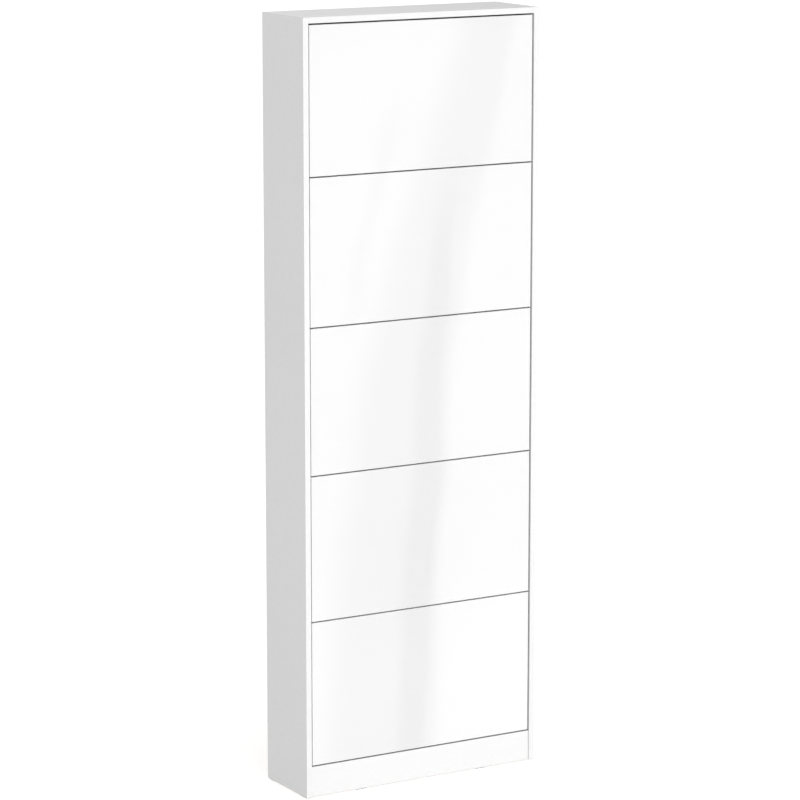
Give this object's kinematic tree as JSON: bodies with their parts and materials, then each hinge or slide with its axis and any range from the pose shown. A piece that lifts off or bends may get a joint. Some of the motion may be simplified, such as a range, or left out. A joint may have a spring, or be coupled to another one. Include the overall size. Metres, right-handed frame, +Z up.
{
  "type": "shoe cabinet",
  "caption": "Tall, slim white shoe cabinet whose handleless inset flaps tilt out on low pivots, each carrying a shoe pocket, above a plinth.",
  "frame": {"origin": "on the floor, at the middle of the footprint", "axes": "+X to the cabinet's right as seen from the front, +Y towards the wall behind it, +Z up; the flaps face -Y"},
  "size_m": [0.585, 0.18, 1.695],
  "materials": {
    "white_melamine_board": "satin",
    "gloss_white_board": "gloss",
    "white_hardboard": "satin",
    "grey_moulded_plastic": "satin",
    "white_plastic": "satin",
    "dark_plastic": "matte",
    "zinc_plated_steel": "satin",
    "zinc_alloy": "matte",
    "beech": "matte",
    "spring_steel": "satin"
  },
  "bodies": {
    "carcass": {"side_left": "white_melamine_board", "side_right": "white_melamine_board", "top_panel": "white_melamine_board", "bottom_panel": "white_melamine_board", "plinth": "white_melamine_board", "rail_upper": "white_melamine_board", "rail_lower": "white_melamine_board", "back_upper": "white_hardboard", "back_lower": "white_hardboard", "back_joiner": "white_plastic", "pivot_pins": "zinc_plated_steel", "stop_pegs": "dark_plastic", "cam_housings": "zinc_alloy", "cam_bolts": "zinc_plated_steel", "wood_dowels": "beech", "back_nails": "zinc_plated_steel", "small_screws": "zinc_plated_steel", "glides": "dark_plastic", "latch_housings": "grey_moulded_plastic", "latch_springs": "spring_steel"},
    "flap_1": {"flap_1_front": "gloss_white_board", "flap_1_bracket_left": "grey_moulded_plastic", "flap_1_bracket_right": "grey_moulded_plastic", "flap_1_back_board": "white_hardboard", "flap_1_base_board": "white_hardboard", "flap_1_screws": "zinc_plated_steel", "flap_1_strike_plate": "zinc_plated_steel"},
    "flap_2": {"flap_2_front": "gloss_white_board", "flap_2_bracket_left": "grey_moulded_plastic", "flap_2_bracket_right": "grey_moulded_plastic", "flap_2_back_board": "white_hardboard", "flap_2_base_board": "white_hardboard", "flap_2_screws": "zinc_plated_steel", "flap_2_strike_plate": "zinc_plated_steel"},
    "flap_3": {"flap_3_front": "gloss_white_board", "flap_3_bracket_left": "grey_moulded_plastic", "flap_3_bracket_right": "grey_moulded_plastic", "flap_3_back_board": "white_hardboard", "flap_3_base_board": "white_hardboard", "flap_3_screws": "zinc_plated_steel", "flap_3_strike_plate": "zinc_plated_steel"},
    "flap_4": {"flap_4_front": "gloss_white_board", "flap_4_bracket_left": "grey_moulded_plastic", "flap_4_bracket_right": "grey_moulded_plastic", "flap_4_back_board": "white_hardboard", "flap_4_base_board": "white_hardboard", "flap_4_screws": "zinc_plated_steel", "flap_4_strike_plate": "zinc_plated_steel"},
    "flap_5": {"flap_5_front": "gloss_white_board", "flap_5_bracket_left": "grey_moulded_plastic", "flap_5_bracket_right": "grey_moulded_plastic", "flap_5_back_board": "white_hardboard", "flap_5_base_board": "white_hardboard", "flap_5_screws": "zinc_plated_steel", "flap_5_strike_plate": "zinc_plated_steel"},
    "plunger_1": {"latch_1_plunger": "white_plastic"},
    "plunger_2": {"latch_2_plunger": "white_plastic"},
    "plunger_3": {"latch_3_plunger": "white_plastic"},
    "plunger_4": {"latch_4_plunger": "white_plastic"},
    "plunger_5": {"latch_5_plunger": "white_plastic"}
  },
  "joints": [
    {"name": "flap_1_tilt", "type": "hinge", "parent": "carcass", "child": "flap_1", "pos_m": [0, -0.0675, 1.4496], "axis": [1, 0, 0], "range_deg": [0, 45]},
    {"name": "flap_2_tilt", "type": "hinge", "parent": "carcass", "child": "flap_2", "pos_m": [0, -0.0675, 1.1277], "axis": [1, 0, 0], "range_deg": [0, 45]},
    {"name": "flap_3_tilt", "type": "hinge", "parent": "carcass", "child": "flap_3", "pos_m": [0, -0.0675, 0.8058], "axis": [1, 0, 0], "range_deg": [0, 45]},
    {"name": "flap_4_tilt", "type": "hinge", "parent": "carcass", "child": "flap_4", "pos_m": [0, -0.0675, 0.4839], "axis": [1, 0, 0], "range_deg": [0, 45]},
    {"name": "flap_5_tilt", "type": "hinge", "parent": "carcass", "child": "flap_5", "pos_m": [0, -0.0675, 0.162], "axis": [1, 0, 0], "range_deg": [0, 45]},
    {"name": "latch_1_push", "type": "slide", "parent": "carcass", "child": "plunger_1", "axis": [0, -1, 0], "range_m": [0, 0.014]},
    {"name": "latch_2_push", "type": "slide", "parent": "carcass", "child": "plunger_2", "axis": [0, -1, 0], "range_m": [0, 0.014]},
    {"name": "latch_3_push", "type": "slide", "parent": "carcass", "child": "plunger_3", "axis": [0, -1, 0], "range_m": [0, 0.014]},
    {"name": "latch_4_push", "type": "slide", "parent": "carcass", "child": "plunger_4", "axis": [0, -1, 0], "range_m": [0, 0.014]},
    {"name": "latch_5_push", "type": "slide", "parent": "carcass", "child": "plunger_5", "axis": [0, -1, 0], "range_m": [0, 0.014]}
  ],
  "couplings": [
    {"joint": "latch_1_push", "follows": "flap_1_tilt", "m_per_rad": 0.0178},
    {"joint": "latch_2_push", "follows": "flap_2_tilt", "m_per_rad": 0.0178},
    {"joint": "latch_3_push", "follows": "flap_3_tilt", "m_per_rad": 0.0178},
    {"joint": "latch_4_push", "follows": "flap_4_tilt", "m_per_rad": 0.0178},
    {"joint": "latch_5_push", "follows": "flap_5_tilt", "m_per_rad": 0.0178}
  ]
}
